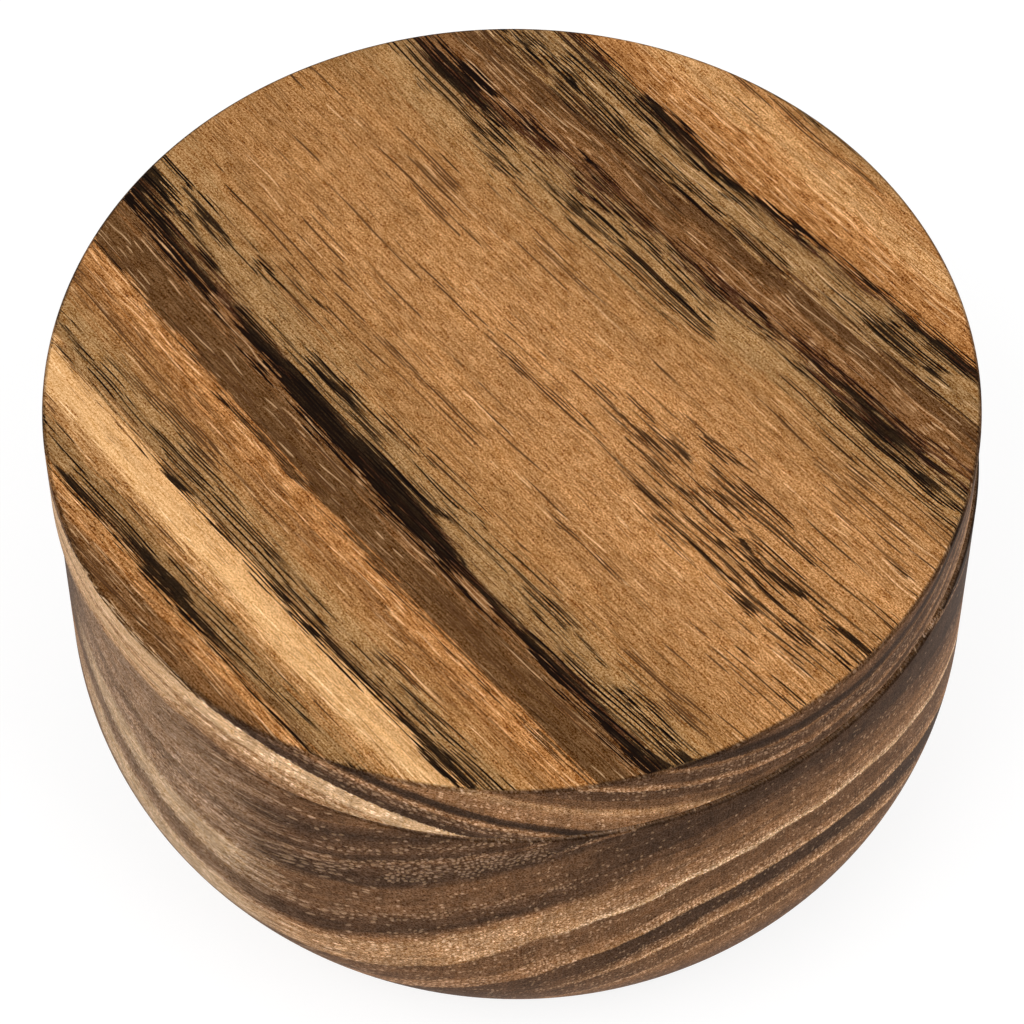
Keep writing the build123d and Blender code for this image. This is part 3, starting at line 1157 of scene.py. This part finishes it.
@dataclass(frozen=True)
class PlasticFinish:
    """Moulded plastic with a faint grain.

    Attributes:
        name: The material's name.
        tint: Its screen colour.
        roughness: Its roughness.
        grain: How far apart its grains are, in millimetres.
    """

    name: str
    tint: tuple[int, int, int]
    roughness: float
    grain: float = 0.3

    TONE_SPAN = (0.88, 1.08)
    GLOSS_SPREAD = 0.1

    def build(self) -> Material:
        """Builds the material.

        Returns:
            The material.
        """
        works = MaterialWorks(self.name)
        place = works.scale(works.add("ShaderNodeTexCoord").outputs["Object"], PER_METRE / self.grain)
        grain = works.noise(place, detail=3.0, rough=0.6)
        colour = works.scale(linear(self.tint)[:3], works.remap(grain, *self.TONE_SPAN))
        gloss = works.remap(grain, self.roughness - self.GLOSS_SPREAD, self.roughness + self.GLOSS_SPREAD)
        return works.paint(colour, gloss, works.bump(grain, strength=0.2, depth=0.02))


@dataclass(frozen=True)
class Bore:
    """A round hole cut into a turned piece.

    Attributes:
        place: The middle of the hole, in the frame's X and Y.
        radius: The hole's radius.
        low: The height of its lower end.
        high: The height of its upper end.
    """

    place: Spot
    radius: float
    low: float
    high: float


@dataclass(frozen=True)
class ToolMarks:
    """The faint ridges that turning leaves: their depth and their pitch."""

    depth: float
    pitch: float


def between(first: Spot, second: Spot, share: float) -> Spot:
    """Returns the point at a share of the way from one point to another."""
    return first[0] + (second[0] - first[0]) * share, first[1] + (second[1] - first[1]) * share


class Outline:
    """The outline of a turned piece, as distances from its axis and heights. Its calls can be chained."""

    STEP = 1.6 * MM
    BEND_SHARES = (0.2, 0.4, 0.6, 0.8)
    SAME_PLACE = 1e-7

    def __init__(self, radius: float, height: float) -> None:
        """Starts the outline at one point."""
        self.points: list[Spot] = [(radius, height)]

    def line(self, radius: float, height: float) -> "Outline":
        """Adds a straight stretch in short steps.

        Args:
            radius: How far from the axis it ends.
            height: The height where it ends.

        Returns:
            The outline.
        """
        start = self.points[-1]
        steps = max(1, math.ceil(math.hypot(radius - start[0], height - start[1]) / self.STEP))
        for step in range(1, steps + 1):
            self.points.append(between(start, (radius, height), step / steps))
        return self

    def bend(self, corner: Spot, end: Spot) -> "Outline":
        """Eases a corner with a parabola, up to the last step before its end.

        Args:
            corner: The corner.
            end: Where the parabola ends.

        Returns:
            The outline.
        """
        start = self.points[-1]
        for share in self.BEND_SHARES:
            first = between(start, corner, share)
            second = between(corner, end, share)
            self.points.append(between(first, second, share))
        return self

    def arc(self, centre: Spot, size: float, start: float, end: float, steps: int) -> "Outline":
        """Adds a round stretch.

        Args:
            centre: Its centre.
            size: Its own radius.
            start: The angle where it starts, in degrees from straight out towards straight up.
            end: The angle where it ends.
            steps: How many short lines it has.

        Returns:
            The outline.
        """
        for step in range(steps + 1):
            angle = math.radians(start + (end - start) * step / steps)
            point = (centre[0] + size * math.cos(angle), centre[1] + size * math.sin(angle))
            if math.dist(point, self.points[-1]) > self.SAME_PLACE:
                self.points.append(point)
        return self


class Lathe:
    """Turns outlines into solid pieces, with a Geometry Nodes tree that has as many bores as the piece."""

    TURN_STEPS = 240
    BORE_SIDES = 72
    CREASE = 35.0
    MERGE_DISTANCE = 1e-6

    def tree(self, bore_count: int) -> tuple[GeometryNodeTree, dict[str, str]]:
        """Builds the tree that spins an outline about the Z axis and cuts bores into it.

        Args:
            bore_count: How many bores it cuts.

        Returns:
            The tree, and the identifier of each of its named inputs.
        """
        works = GroupWorks(f"Turned piece with {bore_count} bores", "GeometryNodeTree")
        works.tree.is_modifier = True
        outline = works.take("Outline", SocketKind.GEOMETRY)
        turn_steps = works.take("Turn Steps", SocketKind.INT, self.TURN_STEPS)
        axis = works.take("Axis Place", SocketKind.VECTOR)
        mark_depth = works.number("Tool Mark Depth")
        mark_pitch = works.number("Tool Mark Pitch", MM)
        material = works.take("Material", SocketKind.MATERIAL)

        count = works.add("GeometryNodeAttributeDomainSize", [outline])
        rows = count.outputs["Point Count"]
        columns = works.plus(turn_steps, 1.0)
        grid = works.add("GeometryNodeMeshGrid", {"Vertices X": columns, "Vertices Y": rows})
        index = works.add("GeometryNodeInputIndex")
        here = works.add("GeometryNodeInputPosition")
        column = works.math("FLOOR", works.over(works.plus(index, 0.5), rows))
        angle = works.times(works.over(column, turn_steps), math.tau)
        feeds = {"Geometry": outline, "Value": here, "Index": works.math("MODULO", index, rows)}
        point = works.add("GeometryNodeSampleIndex", feeds, data_type="FLOAT_VECTOR")
        radius, _, height = works.split(point)
        place = works.join(
            works.times(radius, works.math("COSINE", angle)),
            works.times(radius, works.math("SINE", angle)),
            height,
        )
        spun = works.add("GeometryNodeSetPosition", {"Geometry": grid, "Position": place})
        feeds = {"Geometry": spun, "Distance": self.MERGE_DISTANCE}
        closed = works.add("GeometryNodeMergeByDistance", feeds)

        across, along, up = works.split(here)
        reach = works.vector("LENGTH", works.join(across, along, 0.0))
        pitches = works.join(works.over(reach, mark_pitch), 0.0, works.over(up, mark_pitch))
        ridged = works.noise(pitches, detail=1.0)
        cut_in = works.times(works.times(ridged, mark_depth), -1.0)
        offset = works.scale(works.add("GeometryNodeInputNormal"), cut_in)
        marked = works.add("GeometryNodeSetPosition", {"Geometry": closed, "Offset": offset})
        geometry = works.add("GeometryNodeTransform", {"Geometry": marked, "Translation": axis}).outputs[0]
        for number in range(1, bore_count + 1):
            geometry = self.bored(works, geometry, number)

        edge_angle = works.add("GeometryNodeInputMeshEdgeAngle")
        creased = works.math("GREATER_THAN", edge_angle, math.radians(self.CREASE))
        smooth = works.add("GeometryNodeSetShadeSmooth", {0: geometry, "Shade Smooth": True})
        feeds = {0: smooth, "Selection": creased, "Shade Smooth": False}
        sharp = works.add("GeometryNodeSetShadeSmooth", feeds, domain="EDGE")
        realized = works.add("GeometryNodeRealizeInstances", [sharp])
        painted = works.add("GeometryNodeSetMaterial", {"Geometry": realized, "Material": material})
        works.give("Piece", painted, SocketKind.GEOMETRY)
        items = works.tree.interface.items_tree
        return works.tree, {item.name: item.identifier for item in items if item.in_out == "INPUT"}

    def bored(self, works: GroupWorks, geometry: NodeSocket, number: int) -> NodeSocket:
        """Adds one bore to the tree.

        Args:
            works: The tree.
            geometry: The piece so far.
            number: The bore's number, which is in the names of its inputs.

        Returns:
            The bored piece.
        """
        place = works.take(f"Bore {number} Place", SocketKind.VECTOR)
        radius = works.number(f"Bore {number} Radius", MM)
        depth = works.number(f"Bore {number} Depth", MM)
        feeds = {"Vertices": self.BORE_SIDES, "Radius": radius, "Depth": depth}
        drill = works.add("GeometryNodeMeshCylinder", feeds, fill_type="NGON")
        moved = works.add("GeometryNodeTransform", {"Geometry": drill, "Translation": place})
        feeds = {"Mesh 1": geometry, "Mesh 2": moved}
        return works.add("GeometryNodeMeshBoolean", feeds, operation="DIFFERENCE", solver="EXACT").outputs[0]

    def turn(
        self, name: str, outline: Outline, axis: Spot, bores: Sequence[Bore], marks: ToolMarks,
        material: Material,
    ) -> Object:
        """Turns one piece.

        Args:
            name: The piece's name.
            outline: Its outline, from the axis round to the axis.
            axis: Where its axis stands, in X and Y.
            bores: The holes cut into it.
            marks: Its tool marks.
            material: Its finish.

        Returns:
            The piece, as a plain mesh at the origin.
        """
        rough = bpy.data.meshes.new(f"{name}_outline")
        points = [(radius, 0.0, height) for radius, height in outline.points]
        rough.from_pydata(points, [(step, step + 1) for step in range(len(points) - 1)], [])
        blank = show(f"{name}_blank", rough)
        tree, found = self.tree(len(bores))
        modifier = blank.modifiers.new("Lathe", "NODES")
        modifier.node_group = tree
        settings: dict[str, Value] = {
            "Turn Steps": self.TURN_STEPS,
            "Axis Place": (*axis, 0.0),
            "Tool Mark Depth": marks.depth,
            "Tool Mark Pitch": marks.pitch,
            "Material": material,
        }
        for number, bore in enumerate(bores, 1):
            settings[f"Bore {number} Place"] = (*bore.place, (bore.low + bore.high) / 2)
            settings[f"Bore {number} Radius"] = bore.radius
            settings[f"Bore {number} Depth"] = bore.high - bore.low
        for label, value in settings.items():
            modifier[found[label]] = value
        evaluated = blank.evaluated_get(bpy.context.evaluated_depsgraph_get())
        mesh = bpy.data.meshes.new_from_object(evaluated)
        mesh.name = name
        bpy.data.objects.remove(blank)
        piece = show(name, mesh)
        log.info("%s: %d faces, %d bores", name, len(mesh.polygons), len(bores))
        return piece


class Place:
    """The middle, the radius and the two heights of a round CAD node."""

    def __init__(self, node: str) -> None:
        """Reads the node's box from the frame.

        Args:
            node: The node's name.
        """
        low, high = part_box(node)
        self.middle = ((low.x + high.x) / 2, (low.y + high.y) / 2)
        self.radius = (high.x - low.x) / 2
        self.bottom = low.z
        self.top = high.z


@dataclass
class SaltCup:
    """The turned cup and what is fitted into its rim.

    Attributes:
        side_rounding: The radius of the outside's large rounding.
        foot_inset: How far the flat foot stands in from the wall.
        foot_easing: The easing of the foot's edge.
        wall: The thickness of the wall.
        floor: The thickness of the floor.
        cavity_rounding: The rounding between the cavity's wall and floor.
        rim_outer: The easing of the rim's outer edge.
        rim_inner: The easing of the rim's inner edge.
        fit: The gap round a part that is glued or pressed into the wood.
        barb_reach: How far the bush's barbs stand out from the middle of its bore.
        flange: The thickness of the bush's flange.
        overrun: How far above the rim its bores start.
        marks: The cup's tool marks.
    """

    side_rounding: float = 32.5 * MM
    foot_inset: float = 20.0 * MM
    foot_easing: float = 1.2 * MM
    wall: float = 10.5 * MM
    floor: float = 8.0 * MM
    cavity_rounding: float = 22.0 * MM
    rim_outer: float = 0.4 * MM
    rim_inner: float = 0.5 * MM
    fit: float = 0.05 * MM
    barb_reach: float = 3.75 * MM
    flange: float = 1.1 * MM
    overrun: float = 10.5 * MM
    marks: ToolMarks = ToolMarks(0.02 * MM, 0.9 * MM)

    SIDE_STEPS = 44
    RIM_STEPS = 7
    CAVITY_STEPS = 30

    def outline(self, place: Place) -> Outline:
        """Draws the cup's outline.

        Args:
            place: Where the cup stands.

        Returns:
            The outline, from the middle of the foot round to the middle of the cavity's floor.
        """
        foot = place.radius - self.foot_inset
        centre = place.radius - self.side_rounding
        slope = math.acos((foot - centre) / self.side_rounding)
        wall_low = place.bottom + self.side_rounding * math.sin(slope)
        edge = -math.degrees(slope - self.foot_easing / self.side_rounding)
        across = centre + self.side_rounding * math.cos(math.radians(edge))
        up = wall_low + self.side_rounding * math.sin(math.radians(edge))
        outer = (place.radius - self.rim_outer, place.top - self.rim_outer)
        cavity = place.radius - self.wall
        inner = (cavity + self.rim_inner, place.top - self.rim_inner)
        floor = place.bottom + self.floor
        hollow = (cavity - self.cavity_rounding, floor + self.cavity_rounding)
        return (
            Outline(0.0, place.bottom)
            .line(foot - self.foot_easing, place.bottom)
            .bend((foot, place.bottom), (across, up))
            .arc((centre, wall_low), self.side_rounding, edge, 0.0, self.SIDE_STEPS)
            .line(place.radius, place.top - self.rim_outer)
            .arc(outer, self.rim_outer, 0.0, 90.0, self.RIM_STEPS)
            .line(cavity + self.rim_inner, place.top)
            .arc(inner, self.rim_inner, 90.0, 180.0, self.RIM_STEPS)
            .line(cavity, floor + self.cavity_rounding)
            .arc(hollow, self.cavity_rounding, 0.0, -90.0, self.CAVITY_STEPS)
            .line(0.0, floor)
        )

    def build(self, lathe: Lathe, groups: WoodGroups) -> Object:
        """Turns the cup, bores its rim and lets it ride with the base.

        Args:
            lathe: What turns it.
            groups: The wood's shared node groups.

        Returns:
            The cup.
        """
        place = Place("body")
        bush = Place("pivot_bush")
        magnet = Place("body_magnet")
        above = place.top + self.overrun
        bores = (
            Bore(bush.middle, self.barb_reach, bush.bottom, above),
            Bore(bush.middle, bush.radius + self.fit, bush.top - self.flange, above),
            Bore(magnet.middle, magnet.radius + self.fit, magnet.bottom, above),
        )
        material = BODY_WOOD.build(groups, Vector((*place.middle, Place("lid").top)))
        cup = lathe.turn("turned_cup", self.outline(place), place.middle, bores, self.marks, material)
        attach(cup, "base")
        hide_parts("body")
        return cup


@dataclass
class SwingLid:
    """The disc lid and what is fitted into its underside.

    Attributes:
        top_easing: The easing of its upper edge.
        bottom_easing: The easing of its lower edge.
        fit: The gap round the glued magnet.
        overrun: How far below the lid its bores start.
        marks: The lid's tool marks.
    """

    top_easing: float = 0.6 * MM
    bottom_easing: float = 0.4 * MM
    fit: float = 0.05 * MM
    overrun: float = MM
    marks: ToolMarks = ToolMarks(0.01 * MM, 1.4 * MM)

    BOTTOM_STEPS = 7
    TOP_STEPS = 9

    def outline(self, place: Place) -> Outline:
        """Draws the lid's outline.

        Args:
            place: Where the lid lies.

        Returns:
            The outline, from the middle of the underside round to the middle of the top.
        """
        lower = (place.radius - self.bottom_easing, place.bottom + self.bottom_easing)
        upper = (place.radius - self.top_easing, place.top - self.top_easing)
        return (
            Outline(0.0, place.bottom)
            .line(place.radius - self.bottom_easing, place.bottom)
            .arc(lower, self.bottom_easing, -90.0, 0.0, self.BOTTOM_STEPS)
            .line(place.radius, place.top - self.top_easing)
            .arc(upper, self.top_easing, 0.0, 90.0, self.TOP_STEPS)
            .line(0.0, place.top)
        )

    def build(self, lathe: Lathe, groups: WoodGroups) -> Object:
        """Turns the lid, bores its underside and lets it ride with the swinging body.

        Args:
            lathe: What turns it.
            groups: The wood's shared node groups.

        Returns:
            The lid.
        """
        place = Place("lid")
        pin = Place("pivot_pin")
        magnet = Place("lid_magnet")
        below = place.bottom - self.overrun
        bores = (
            Bore(pin.middle, pin.radius, below, pin.top),
            Bore(magnet.middle, magnet.radius + self.fit, below, magnet.top),
        )
        material = LID_WOOD.build(groups, Vector((*place.middle, place.top)))
        lid = lathe.turn("turned_lid", self.outline(place), place.middle, bores, self.marks, material)
        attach(lid, "swing_lid")
        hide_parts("lid")
        return lid


@dataclass
class HiddenHardware:
    """The pin, the bush and the magnets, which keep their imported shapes."""

    pin: MetalFinish = MetalFinish("pin_steel", Metal.STEEL, roughness=0.28, scratch=0.25)
    magnet: MetalFinish = MetalFinish("magnet_nickel", Metal.NICKEL, roughness=0.16, scratch=0.4)
    bush: PlasticFinish = PlasticFinish("bush_nylon", (226, 220, 204), roughness=0.45)

    def dress(self, node: str, material: Material) -> None:
        """Puts a finish on every slot of a CAD node.

        Args:
            node: The node's name.
            material: The finish.
        """
        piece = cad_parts[node]
        if not piece.material_slots:
            piece.data.materials.append(material)
        for slot in piece.material_slots:
            slot.material = material
        log.info("%s: dressed in %s", node, material.name)

    def build(self) -> None:
        """Dresses each small part."""
        plating = self.magnet.build()
        self.dress("pivot_pin", self.pin.build())
        self.dress("pivot_bush", self.bush.build())
        self.dress("body_magnet", plating)
        self.dress("lid_magnet", plating)


@dataclass(frozen=True)
class Lamp:
    """A square soft lamp that faces the box.

    Attributes:
        name: Its name.
        place: Where it hangs.
        power: Its power, in watts.
        size: Its width.
    """

    name: str
    place: tuple[float, float, float]
    power: float
    size: float = 0.9


@dataclass
class Studio:
    """The floor, the lamps and the camera.

    Attributes:
        floor_size: The width of the floor.
        bounced_grey: The grey of the floor as it lights the box.
        shown_grey: Its grey in the picture, under a glow.
        glow: The strength of that glow.
        room_light: The strength of the room's light on the box. The picture shows it at 1.
        lamps: The lamps.
        camera_distance: From the camera to the middle of the lid's top.
        camera_elevation: How far above the horizon it stands, in degrees.
        focal_length: Its focal length, in millimetres.
        sensor: The width of its sensor, in millimetres.
        clip: The nearest and the furthest that it sees.
        aim: The point that it and the lamps face.
    """

    floor_size: float = 12.0
    bounced_grey: float = 0.75
    shown_grey: float = 0.32
    glow: float = 0.77
    room_light: float = 0.55
    lamps: tuple[Lamp, ...] = (Lamp("key", (-0.7, -0.7, 1.3), 9.0), Lamp("fill", (0.8, -0.6, 1.2), 6.4))
    camera_distance: float = 0.5
    camera_elevation: float = 54.33
    focal_length: float = 165.1
    sensor: float = 36.0
    clip: tuple[float, float] = (0.01, 50.0)
    aim: tuple[float, float, float] = (-0.0005, 0.0, 0.042)

    def floor(self) -> Object:
        """Lays the pale floor.

        Returns:
            The floor.
        """
        half = self.floor_size / 2
        mesh = bpy.data.meshes.new("floor")
        corners = [(-half, -half, 0.0), (half, -half, 0.0), (half, half, 0.0), (-half, half, 0.0)]
        mesh.from_pydata(corners, [], [(0, 1, 2, 3)])
        piece = show("floor", mesh)
        works = MaterialWorks("floor_white")
        bounce = works.add("ShaderNodeBsdfDiffuse", {"Color": grey(self.bounced_grey)})
        matt = works.add("ShaderNodeBsdfDiffuse", {"Color": grey(self.shown_grey)})
        glow = works.add("ShaderNodeEmission", {"Strength": self.glow})
        shown = works.add("ShaderNodeAddShader", (matt, glow))
        path = works.add("ShaderNodeLightPath").outputs
        seen = works.math("MAXIMUM", path["Is Camera Ray"], path["Is Glossy Ray"])
        mesh.materials.append(works.close(works.add("ShaderNodeMixShader", (seen, bounce, shown))))
        return piece

    def world(self) -> None:
        """Sets the even light of the room, which the camera sees as white."""
        world = bpy.data.worlds.new("room")
        bpy.context.scene.world = world
        world.use_nodes = True
        works = Works(world.node_tree)
        seen = works.add("ShaderNodeLightPath").outputs["Is Camera Ray"]
        strength = works.remap(seen, self.room_light, 1.0)
        backdrop = works.add("ShaderNodeBackground", {"Color": grey(1.0), "Strength": strength})
        works.add("ShaderNodeOutputWorld", {"Surface": backdrop})

    def hang(self, name: str, data: ID, place: Sequence[float]) -> Object:
        """Puts a lamp or a camera at a place, turned to face the aim.

        Args:
            name: Its name.
            data: The lamp's or the camera's data.
            place: Where it stands.

        Returns:
            The lamp or the camera.
        """
        item = show(name, data)
        item.location = place
        item.rotation_euler = (Vector(self.aim) - Vector(place)).to_track_quat("-Z", "Y").to_euler()
        return item

    def light(self, lamp: Lamp) -> None:
        """Hangs one lamp.

        Args:
            lamp: The lamp.
        """
        data = bpy.data.lights.new(lamp.name, "AREA")
        data.shape = "SQUARE"
        data.size = lamp.size
        data.energy = lamp.power
        self.hang(lamp.name, data, lamp.place)

    def camera(self) -> None:
        """Stands the camera where the photograph was taken from."""
        data = bpy.data.cameras.new("camera")
        data.lens = self.focal_length
        data.sensor_width = self.sensor
        data.clip_start, data.clip_end = self.clip
        lift = math.radians(self.camera_elevation)
        back = -self.camera_distance * math.cos(lift)
        up = Place("lid").top + self.camera_distance * math.sin(lift)
        bpy.context.scene.camera = self.hang("camera", data, (0.0, back, up))

    def build(self) -> None:
        """Builds the studio."""
        bpy.context.scene.view_settings.view_transform = "Standard"
        self.floor()
        self.world()
        for lamp in self.lamps:
            self.light(lamp)
        self.camera()
        log.info("studio: ready")


def main() -> None:
    """Builds the salt box and its studio."""
    logging.basicConfig(level=logging.INFO, format="%(name)s: %(message)s")
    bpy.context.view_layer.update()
    lathe = Lathe()
    groups = WoodGroups()
    SaltCup().build(lathe, groups)
    SwingLid().build(lathe, groups)
    HiddenHardware().build()
    Studio().build()


if __name__ == "__main__":
    main()
